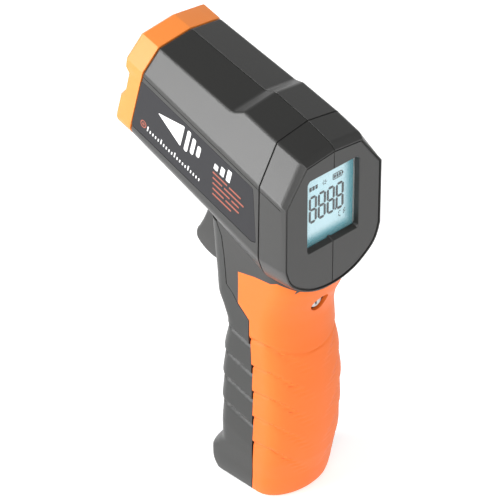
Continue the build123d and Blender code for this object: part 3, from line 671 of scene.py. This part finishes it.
# %% [markdown]
# ## The inside of the grip
# With the door open the battery bay shows, so the CAD shells' inner walls are kept: a copy of each
# half is trimmed to what lies just under the covers. The door keeps its hinge block the same way.

# %% Grip core and hinge block from the CAD shells
CORE_INSET, CORE_TOP = 0.5, 92.0
HINGE_INSET, HINGE_TOP = 0.3, 24.0


def trimmed_copy(name, source, inset, top):
    """A free copy of a CAD solid, cut back to the grip's skin drawn inwards."""
    obj = duplicate(nodes[source], name)
    obj.parent = None
    for key in list(obj.keys()):
        del obj[key]
    edit_all(obj)
    bpy.ops.mesh.remove_doubles(threshold=1e-6)
    done()
    return cut(obj, grip_solid("trim", inset, top=top), "INTERSECT")


core = trimmed_copy("grip_core", "housing_left", CORE_INSET, CORE_TOP)
core_right = trimmed_copy("grip_core_right", "housing_right", CORE_INSET, CORE_TOP)
hinge_block = trimmed_copy("door_hinge_block", "battery_door", HINGE_INSET, HINGE_TOP)
print("core", len(core.data.polygons), "hinge", len(hinge_block.data.polygons))

# %% [markdown]
# ## The nose
# An orange ring closes the barrel. Its front edge is scooped back on both sides at mid height.

# %% Nose ring
NOSE_EDGE = [(-24.0, 75.8), (-6.8, 75.8), (-3.6, 74.3), (4.0, 74.5), (5.4, 76.5),
             (7.4, NOSE_FRONT), (24.0, NOSE_FRONT)]
SIDE_UPS = [6.2, 5.4, 4.7, 4.0, 0.2, -3.6, -4.7, -5.8, -6.8, -11.0]


def nose_front(up):
    """How far forward the ring's front edge comes at a height."""
    for (low, a), (high, b) in zip(NOSE_EDGE, NOSE_EDGE[1:]):
        if low <= up <= high:
            return a + (b - a) * (up - low) / (high - low)
    return NOSE_FRONT


def nose_outline():
    """(x, up) of the nose section, with extra points down the sides for the scoop."""
    half = [Vector((0, 18.8)), Vector((13.1, 16.8)), Vector((NOSE_HALF_WIDTH, 8.4))]
    half += [Vector((NOSE_HALF_WIDTH, up)) for up in SIDE_UPS]
    chin = [Vector((NOSE_HALF_WIDTH, -15.3))] + [Vector(p) for p in NOSE_CHIN]
    half += curve_through(chin, (NOSE_HALF_WIDTH, -11.5), (-5.0, -21.7), 5)
    return half + [Vector((-p.x, p.y)) for p in reversed(half[1:-1])]


def nose_ring_at(forward, inset=0.0, back=0.0):
    """The outline drawn inwards; forward is a number, or None to follow the front edge less back."""
    flat = inset_ring([(p.x, p.y, 0) for p in nose_outline()], inset)
    out = []
    for p, before in zip(flat, nose_outline()):
        place = nose_front(before.y) - back if forward is None else forward
        out.append(barrel_point(p.x, place, p.y))
    return out


nose = tube("nose_ring", [
    nose_ring_at(NOSE_BACK + NOSE_GAP),
    nose_ring_at(None, 0.0, 0.9),
    nose_ring_at(None, 0.9, 0.0),
    nose_ring_at(None, 2.5, 0.1),
    nose_ring_at(70.6, 2.7),
    nose_ring_at(NOSE_BACK + NOSE_GAP, 2.7),
], closed_loop=True)
weigh_edges(nose, lambda middle, direction: 1.0 if abs(direction.dot(FORWARD)) > 0.7 else 0.25, 14.0)
modify(nose, "BEVEL", limit_method="WEIGHT", width=1.7 * MM, segments=5, use_clamp_overlap=True)
smooth(nose, 35)

# %% [markdown]
# ## The trigger
# One dark lever: its side outline is extruded across the width and its long edges are rounded.

# %% Trigger
TRIGGER_HALF, PIN_RADIUS = 5.3, 1.6
PIN = Vector((0, -15.5, 103.5))
HALF_PIN = Vector((9, 0, 0))
TRIGGER_OUTLINE = [
    (-12.6, 106.4), (-18.4, 106.4), (-22.6, 104.0), (-25.2, 98.0), (-27.2, 92.0), (-29.0, 87.6),
    (-30.8, 84.2), (-32.2, 82.0), (-32.6, 80.2), (-32.2, 78.4), (-30.2, 76.6), (-27.0, 75.0),
    (-23.0, 74.2), (-16.4, 74.3), (-13.4, 77.0), (-12.6, 92.0),
]
closed = [Vector(p) for p in TRIGGER_OUTLINE]
outline = curve_through(closed + closed[:1], closed[-1], closed[1], 4)[:-1]
trigger = side_prism("trigger_lever", outline, TRIGGER_HALF)
modify(trigger, "BEVEL", limit_method="ANGLE", angle_limit=radians(50), width=1.1 * MM, segments=4)
cut(trigger, rod("pin_hole", PIN_RADIUS, PIN - HALF_PIN, PIN + HALF_PIN))
smooth(trigger, 40)

# %% [markdown]
# ## The side labels
# A printed film sits on each side flat. Its outline is drawn on the flat, given a hair of
# thickness, and the print is a second, thinner layer: generic bars and symbols only. The barrel
# is sunk a little under each film, with a hair of clearance round it.

# %% Shapes on the side flat
LABEL_POINTS = [(68.2, -13.7), (68.2, 5.1), (14.2, 5.1), (7.6, -12.6), (9.6, -13.7)]
LABEL_GAP, LABEL_MIDDLE = 0.15, 38.0
ROOM_POINTS = [(forward + (LABEL_GAP if forward > LABEL_MIDDLE else -LABEL_GAP),
                up + (LABEL_GAP if up > 0 else -LABEL_GAP)) for forward, up in LABEL_POINTS]


def flat_shape(name, points, side, lift, thickness):
    """A thin plate on a side flat from (forward, up) points. lift is how far its back stands off."""
    places = [barrel_point(side * (side_x(forward) + lift), forward, up) for forward, up in points]
    return plate(name, places, (side * thickness, 0, 0))


def rounded(points, radius, steps=5):
    """Round every corner of a closed outline of (a, b) points."""
    out = []
    corners = [Vector(p) for p in points]
    for before, here, after in zip(corners[-1:] + corners[:-1], corners, corners[1:] + corners[:1]):
        reach = min(radius, (before - here).length / 2.2, (after - here).length / 2.2)
        start = here + (before - here).normalized() * reach
        end = here + (after - here).normalized() * reach
        for k in range(steps + 1):
            t = k / steps
            out.append(tuple(start * (1 - t) ** 2 + here * 2 * t * (1 - t) + end * t * t))
    return out


def bar(start, top, length, height, radius=0.2, steps=3):
    """A rounded bar: its first upper corner, then how far it runs and how far it drops."""
    end, bottom = start - length, top - height
    return rounded([(start, top), (end, top), (end, bottom), (start, bottom)], radius, steps)


# %% Labels and their print
FILM_LIFT, FILM_THICKNESS, PRINT_THICKNESS = -0.4, 0.36, 0.03
ROOM_DEPTH = 0.45
PRINT_LIFT = FILM_LIFT + FILM_THICKNESS - 0.01


def white_print(side):
    """A pictogram of a sensor cone and a scale, then two title bars and a size mark."""
    shapes = [
        rounded([(58.5, -0.4), (46.5, 3.8), (46.5, -4.6)], 0.6, 4),
        bar(44.9, 3.8, 1.6, 8.4, 0.7),
        bar(42.2, 2.8, 1.6, 6.4, 0.7),
        bar(39.5, 1.8, 1.6, 4.4, 0.7),
    ]
    for k in range(20):
        tall = 1.9 if k % 5 == 0 else 1.1
        shapes.append(bar(61.4 - 1.33 * k, -10.6 + tall, 0.5, tall, 0.12))
    for k, height in enumerate((2.2, 3.4, 4.6)):
        shapes.append(bar(31.2 - 2.9 * k, 3.6 - (4.6 - height), 1.8, height, 0.3))
    parts = [flat_shape("mark", shape, side, PRINT_LIFT, PRINT_THICKNESS) for shape in shapes]
    return joined("label_print_white_" + ("left" if side > 0 else "right"), parts)


def ring_shape(name, forward, up, outer, inner, side):
    """A flat printed ring: a disc with a disc cut out of it."""
    def circle(radius, count=32):
        turns = [2 * pi * k / count for k in range(count)]
        return [(forward + radius * cos(turn), up + radius * sin(turn)) for turn in turns]
    disc = flat_shape(name, circle(outer), side, PRINT_LIFT, PRINT_THICKNESS)
    return cut(disc, flat_shape("hole", circle(inner), side, PRINT_LIFT - 0.2, PRINT_THICKNESS + 0.4))


def orange_print(side):
    """A target of two rings, and short rows of plain bars."""
    forward, up = 63.4, -9.4
    parts = [ring_shape("target", forward, up, 1.4, 1.0, side),
             ring_shape("dot", forward, up, 0.55, 0.2, side)]
    for row, lengths in enumerate(((7.0, 5.6), (4.6, 9.4), (8.2, 3.6), (5.4, 6.4), (9.0,))):
        place = 31.2 - 0.5 * row
        for length in lengths:
            shape = bar(place, -2.2 - 1.9 * row, length, 0.62, 0.2)
            parts.append(flat_shape("row", shape, side, PRINT_LIFT, PRINT_THICKNESS))
            place -= length + 0.9
    return joined("label_print_orange_" + ("left" if side > 0 else "right"), parts)


labels, prints_white, prints_orange = [], [], []
for side, word in ((1, "left"), (-1, "right")):
    cut(barrel, flat_shape("label_room", rounded(ROOM_POINTS, 0.8), side, -ROOM_DEPTH, 1.0))
    film = flat_shape("label_film_" + word, rounded(LABEL_POINTS, 0.7), side, FILM_LIFT, FILM_THICKNESS)
    labels.append(smooth(film))
    prints_white.append(white_print(side))
    prints_orange.append(orange_print(side))
smooth(barrel, 30)
modify(barrel, "WEIGHTED_NORMAL", keep_sharp=True)
print("labels", [len(p.data.polygons) for p in prints_white])

# %% [markdown]
# ## The display
# The liquid-crystal display shows every segment at once: four large digits, the two temperature
# units, three small bars, a beam symbol and a battery symbol.

# %% Display segments
LCD_Y = 20.34
SEGMENT_THICKNESS = 0.05


def face_shape(name, points):
    """A thin plate on the display from (x, z) points."""
    return plate(name, [(x, LCD_Y, z) for x, z in points], (0, SEGMENT_THICKNESS, 0))


def stroke(start, end, width):
    """A bar with pointed ends between two points."""
    a, b = Vector(start), Vector(end)
    along = (b - a).normalized()
    across = Vector((-along.y, along.x)) * width / 2
    tip = along * width / 2
    return [tuple(p) for p in (a, a + tip + across, b - tip + across, b, b - tip - across, a + tip - across)]


def digit(left, top, width, height, lit="abcdefg", stroke_width=0.9):
    """Strokes of one digit. Its left is towards +X, because the face is read from behind."""
    right, middle, bottom = left - width, top - height / 2, top - height
    gap = 0.14
    ends = {
        "a": ((left - gap, top), (right + gap, top)),
        "b": ((right, top - gap), (right, middle + gap)),
        "c": ((right, middle - gap), (right, bottom + gap)),
        "d": ((left - gap, bottom), (right + gap, bottom)),
        "e": ((left, middle - gap), (left, bottom + gap)),
        "f": ((left, top - gap), (left, middle + gap)),
        "g": ((left - gap, middle), (right + gap, middle)),
    }
    return [stroke(*ends[name], stroke_width) for name in lit]


DIGIT_TOP, DIGIT_WIDTH, DIGIT_HEIGHT = 118.5, 2.6, 9.0
UNIT_TOP, UNIT_WIDTH, UNIT_HEIGHT, UNIT_STROKE = 108.2, 1.0, 1.9, 0.34
ICON_TOP = 122.4
BEAM_CENTRE, BEAM_RAYS = Vector((0.6, 121.7)), 6
BATTERY_CASE = [(-3.1, 122.8), (-7.0, 122.8), (-7.0, 120.9), (-3.1, 120.9)]

shapes = []
for left in (6.9, 3.0, -0.9, -4.8):
    shapes += digit(left, DIGIT_TOP, DIGIT_WIDTH, DIGIT_HEIGHT)
shapes.append(bar(-4.0, 110.1, 0.6, 0.7, 0.1, 2))
for left, lit in ((-5.8, "adef"), (-7.9, "aefg")):
    shapes += digit(left, UNIT_TOP, UNIT_WIDTH, UNIT_HEIGHT, lit, UNIT_STROKE)
shapes += [bar(left, ICON_TOP, 1.0, 1.5, 0.2, 2) for left in (7.2, 5.9, 4.6)]
for k in range(BEAM_RAYS):
    angle = 2 * pi * k / BEAM_RAYS
    spoke = Vector((cos(angle), sin(angle)))
    shapes.append(stroke(BEAM_CENTRE + spoke * 0.3, BEAM_CENTRE + spoke, 0.24))
shapes += [stroke(a, b, 0.3) for a, b in zip(BATTERY_CASE, BATTERY_CASE[1:] + BATTERY_CASE[:1])]
shapes += [bar(left, ICON_TOP, 0.8, 1.1, 0.1, 2) for left in (-3.5, -4.6, -5.7)]
shapes.append(stroke((-7.35, 122.3), (-7.35, 121.4), 0.4))
segments = joined("lcd_segments", [face_shape("segment", shape) for shape in shapes])
print(len(shapes), "segments")

# %% [markdown]
# ## Finishes
# Every finish has its own grain: spark-eroded satin plastic, softer rubber, smooth film, plated
# steel. Patterns read Object coordinates, so they stay put when a piece moves.

# %% Material helper
GRAIN_SCALE, PATCH_SCALE = 3000.0, 60.0
GRAIN_RELIEF = 0.0002


def finish(name, colour, roughness, bump=0.12, tone=0.06, specular=0.5, coat=0.0, metallic=0.0,
           rough_spread=0.06):
    """A moulded or coated surface: slow colour drift, uneven gloss and a fine bump."""
    material = bpy.data.materials.new(name)
    material.use_nodes = True
    tree = material.node_tree
    shader = tree.nodes["Principled BSDF"]
    shader.inputs["Specular IOR Level"].default_value = specular
    shader.inputs["Coat Weight"].default_value = coat
    shader.inputs["Metallic"].default_value = metallic
    place = tree.nodes.new("ShaderNodeTexCoord")
    drift = tree.nodes.new("ShaderNodeTexNoise")
    drift.inputs["Scale"].default_value = PATCH_SCALE
    drift.inputs["Detail"].default_value = 4.0
    fine = tree.nodes.new("ShaderNodeTexNoise")
    fine.inputs["Scale"].default_value = GRAIN_SCALE
    fine.inputs["Detail"].default_value = 3.0
    for texture in (drift, fine):
        tree.links.new(place.outputs["Object"], texture.inputs["Vector"])
    shade = tree.nodes.new("ShaderNodeMix")
    shade.data_type = "RGBA"
    dark = [c * (1 - tone) for c in colour]
    light = [min(1.0, c * (1 + tone)) for c in colour]
    shade.inputs["A"].default_value = (*dark, 1.0)
    shade.inputs["B"].default_value = (*light, 1.0)
    tree.links.new(drift.outputs["Fac"], shade.inputs["Factor"])
    tree.links.new(shade.outputs["Result"], shader.inputs["Base Color"])
    gloss = tree.nodes.new("ShaderNodeMapRange")
    gloss.inputs["To Min"].default_value = roughness - rough_spread
    gloss.inputs["To Max"].default_value = roughness + rough_spread
    tree.links.new(fine.outputs["Fac"], gloss.inputs["Value"])
    tree.links.new(gloss.outputs["Result"], shader.inputs["Roughness"])
    relief = tree.nodes.new("ShaderNodeBump")
    relief.inputs["Strength"].default_value = bump
    relief.inputs["Distance"].default_value = GRAIN_RELIEF
    tree.links.new(fine.outputs["Fac"], relief.inputs["Height"])
    tree.links.new(relief.outputs["Normal"], shader.inputs["Normal"])
    return material


# %% Finishes
housing_plastic = finish("housing_plastic", (0.022, 0.022, 0.021), 0.33, specular=0.58)
door_plastic = finish("door_plastic", (0.025, 0.026, 0.025), 0.4, specular=0.5)
orange_rubber = finish("orange_rubber", (0.78, 0.150, 0.014), 0.5, tone=0.03, specular=0.4)
# The nose is a lighter copy of the orange rubber: the extra lightness is painted light, standing in for
# light falling on the nose's top.
nose_rubber_painted_light = finish("nose_rubber_painted_light", (0.86, 0.250, 0.045), 0.45, tone=0.03, specular=0.5)
label_film = finish("label_film", (0.017, 0.017, 0.020), 0.36, bump=0.04, tone=0.04, specular=0.25)
ink_white = finish("ink_white", (0.82, 0.82, 0.82), 0.5, bump=0.03, tone=0.02)
ink_orange = finish("ink_orange", (0.30, 0.075, 0.045), 0.5, bump=0.03, tone=0.05)
lcd_ink = finish("lcd_ink", (0.008, 0.011, 0.016), 0.5, bump=0.0, tone=0.02)
black_plastic = finish("black_plastic", (0.02, 0.02, 0.021), 0.4)
white_plastic = finish("white_plastic", (0.75, 0.75, 0.72), 0.45, tone=0.03)
steel = finish("steel", (0.55, 0.55, 0.54), 0.3, metallic=1.0, bump=0.06)
brass = finish("brass", (0.62, 0.44, 0.17), 0.3, metallic=1.0, bump=0.06)
board_green = finish("board_green", (0.02, 0.13, 0.05), 0.35, tone=0.15, bump=0.05)
lens_coating = finish("lens_coating", (0.035, 0.03, 0.035), 0.08, coat=0.6, bump=0.0)
battery_jacket = finish("battery_jacket", (0.06, 0.065, 0.08), 0.28, coat=0.3, bump=0.03)
lead_red = finish("lead_red", (0.5, 0.03, 0.02), 0.45)


# %% Display finishes
def lcd_painted_shade_and_glow():
    """Pale glass with painted shade: it turns teal towards its right and lower edges, and its faint emission
    is a painted glow.
    """
    material = bpy.data.materials.new("lcd_glass")
    material.use_nodes = True
    tree = material.node_tree
    shader = tree.nodes["Principled BSDF"]
    shader.inputs["Roughness"].default_value = 0.25
    # Painted glow: the glass emits a little light in its own colour, though the display is no lamp.
    shader.inputs["Emission Strength"].default_value = 0.2
    place = tree.nodes.new("ShaderNodeTexCoord")
    axes = tree.nodes.new("ShaderNodeSeparateXYZ")
    tree.links.new(place.outputs["Object"], axes.inputs["Vector"])
    # Painted shade: the glass darkens to teal towards its right and lower edges, where the window's walls
    # shade it.
    painted_shade_fades = []
    for axis, clear, deep in (("X", -0.0072, -0.0112), ("Z", 0.1060, 0.1022)):
        fade = tree.nodes.new("ShaderNodeMapRange")
        fade.interpolation_type = "SMOOTHSTEP"
        fade.inputs["From Min"].default_value = clear
        fade.inputs["From Max"].default_value = deep
        tree.links.new(axes.outputs[axis], fade.inputs["Value"])
        painted_shade_fades.append(fade)
    painted_shade_mask = tree.nodes.new("ShaderNodeMath")
    painted_shade_mask.operation = "MAXIMUM"
    for k, fade in enumerate(painted_shade_fades):
        tree.links.new(fade.outputs["Result"], painted_shade_mask.inputs[k])
    cloud = tree.nodes.new("ShaderNodeTexNoise")
    cloud.inputs["Scale"].default_value = 90.0
    tree.links.new(place.outputs["Object"], cloud.inputs["Vector"])
    pale = tree.nodes.new("ShaderNodeMix")
    pale.data_type = "RGBA"
    pale.inputs["A"].default_value = (0.38, 0.60, 0.66, 1)
    pale.inputs["B"].default_value = (0.50, 0.66, 0.71, 1)
    tree.links.new(cloud.outputs["Fac"], pale.inputs["Factor"])
    shade = tree.nodes.new("ShaderNodeMix")
    shade.data_type = "RGBA"
    # The dark teal of the painted shade.
    shade.inputs["B"].default_value = (0.07, 0.30, 0.36, 1)
    tree.links.new(painted_shade_mask.outputs["Value"], shade.inputs["Factor"])
    tree.links.new(pale.outputs["Result"], shade.inputs["A"])
    tree.links.new(shade.outputs["Result"], shader.inputs["Base Color"])
    tree.links.new(shade.outputs["Result"], shader.inputs["Emission Color"])
    return material


def clear_window():
    """A thin clear window: mostly see-through, with a polished surface."""
    material = finish("window_glass", (0.85, 0.93, 0.93), 0.06, bump=0.0, tone=0.01, rough_spread=0.01)
    material.node_tree.nodes["Principled BSDF"].inputs["Alpha"].default_value = 0.1
    return material


lcd_glass = lcd_painted_shade_and_glow()
window_glass = clear_window()

# %% [markdown]
# ## Dress the pieces
# Each new piece takes its material, rides on its body and stands for the CAD nodes that it
# hides. The CAD nodes that stay take their materials on their own slots.

# %% Dress
finish_piece(barrel, "housing", "housing_plastic", housing_plastic, "housing_left", "housing_right")
finish_piece(neck, "housing", "housing_plastic", housing_plastic)
finish_piece(core, "housing", "housing_plastic", housing_plastic)
finish_piece(core_right, "housing", "housing_plastic", housing_plastic)
finish_piece(strap, "housing", "orange_rubber", orange_rubber, "back_strap")
finish_piece(door, "battery_door", "housing_plastic", door_plastic, "battery_door")
finish_piece(hinge_block, "battery_door", "housing_plastic", door_plastic)
finish_piece(nose, "housing", "orange_rubber", nose_rubber_painted_light, "nose_bezel")
finish_piece(trigger, "trigger", "housing_plastic", housing_plastic, "trigger")
for film, node in zip(labels, ("side_label_left", "side_label_right")):
    finish_piece(film, "housing", "label_film", label_film, node)
for marks in prints_white:
    finish_piece(marks, "housing", "label_film", ink_white)
for marks in prints_orange:
    finish_piece(marks, "housing", "label_film", ink_orange)
finish_piece(segments, "housing", "lcd_glass", lcd_ink)

SLOT_FINISHES = {
    "housing_plastic": housing_plastic, "orange_rubber": orange_rubber,
    "black_plastic": black_plastic, "white_plastic": white_plastic, "label_film": label_film,
    "window_glass": window_glass, "lcd_glass": lcd_glass, "lens_glass": lens_coating,
    "circuit_board": board_green, "black_rubber": black_plastic, "steel": steel, "brass": brass,
    "battery_jacket": battery_jacket, "lead_insulation": lead_red,
}
for part in frame["record"]["subparts"]:
    obj = nodes[part["node"]]
    material = SLOT_FINISHES[part["material_slot"]]
    if not obj.material_slots:
        obj.data.materials.append(material)
    for material_slot in obj.material_slots:
        material_slot.material = material

# %% [markdown]
# ## Table, light and camera
# The instrument stands on a pale, softly glowing table under a dim ceiling, with brighter walls
# and three soft lamps: a large one low on its left that catches the chamfer, a large one over the
# viewer's shoulder, and a small one that draws the edges. The dim ceiling keeps the top facets dark.

# %% Table
deselect()
bpy.ops.mesh.primitive_plane_add(size=8.0)
table = named("table")
edit_all(table)
bpy.ops.mesh.subdivide(number_cuts=4)
done()
table_top = finish("table_top", (0.85, 0.85, 0.85), 0.9, bump=0.0, tone=0.004, specular=0.0)
table_shader = table_top.node_tree.nodes["Principled BSDF"]
table_shader.inputs["Emission Color"].default_value = (1, 1, 1, 1)
table_shader.inputs["Emission Strength"].default_value = 0.45
table.data.materials.append(table_top)

# %% Room light
world = bpy.data.worlds.new("studio")
bpy.context.scene.world = world
world.use_nodes = True
tree = world.node_tree
background = tree.nodes["Background"]
background.inputs["Color"].default_value = (1, 1, 1, 1)
place = tree.nodes.new("ShaderNodeTexCoord")
axes = tree.nodes.new("ShaderNodeSeparateXYZ")
height = tree.nodes.new("ShaderNodeMapRange")
height.interpolation_type = "SMOOTHSTEP"
height.inputs["From Min"].default_value = 0.15
height.inputs["From Max"].default_value = 0.75
height.inputs["To Min"].default_value = 1.2
height.inputs["To Max"].default_value = 0.3
tree.links.new(place.outputs["Generated"], axes.inputs["Vector"])
tree.links.new(axes.outputs["Z"], height.inputs["Value"])
tree.links.new(height.outputs["Result"], background.inputs["Strength"])


OBJECT_MIDDLE = Vector((0, -0.015, 0.09))


def softbox(name, direction, distance, size, power):
    """A square lamp that faces the middle of the object."""
    toward = Vector(direction).normalized()
    bpy.ops.object.light_add(type="AREA", location=OBJECT_MIDDLE + toward * distance)
    lamp = bpy.context.object
    lamp.name = name
    lamp.data.shape = "SQUARE"
    lamp.data.size = size
    lamp.data.energy = power
    lamp.rotation_euler = toward.to_track_quat("Z", "Y").to_euler()
    return lamp


softbox("lamp_left", (0.9, -0.36, 0.27), 0.9, 0.5, 6.0)
softbox("lamp_front", (0.55, 0.65, 0.62), 1.0, 0.6, 4.5)
softbox("lamp_edge", (0.55, -0.45, 0.70), 1.1, 0.22, 3.0)

# %% Camera
AZIMUTH, ELEVATION = radians(135.717), radians(34.137)
TARGET = Vector((-0.005407, -0.0185, 0.074951))
DISTANCE, LENS = 1.159, 260.35
back = Vector((sin(AZIMUTH) * cos(ELEVATION), -cos(AZIMUTH) * cos(ELEVATION), sin(ELEVATION)))
bpy.ops.object.camera_add(location=TARGET + back * DISTANCE)
camera = bpy.context.object
camera.data.lens = LENS
camera.data.sensor_width = 36.0
camera.rotation_euler = back.to_track_quat("Z", "Y").to_euler()
camera.data.clip_start, camera.data.clip_end = 0.05, 30.0
bpy.context.scene.camera = camera
bpy.context.scene.view_settings.view_transform = "Standard"
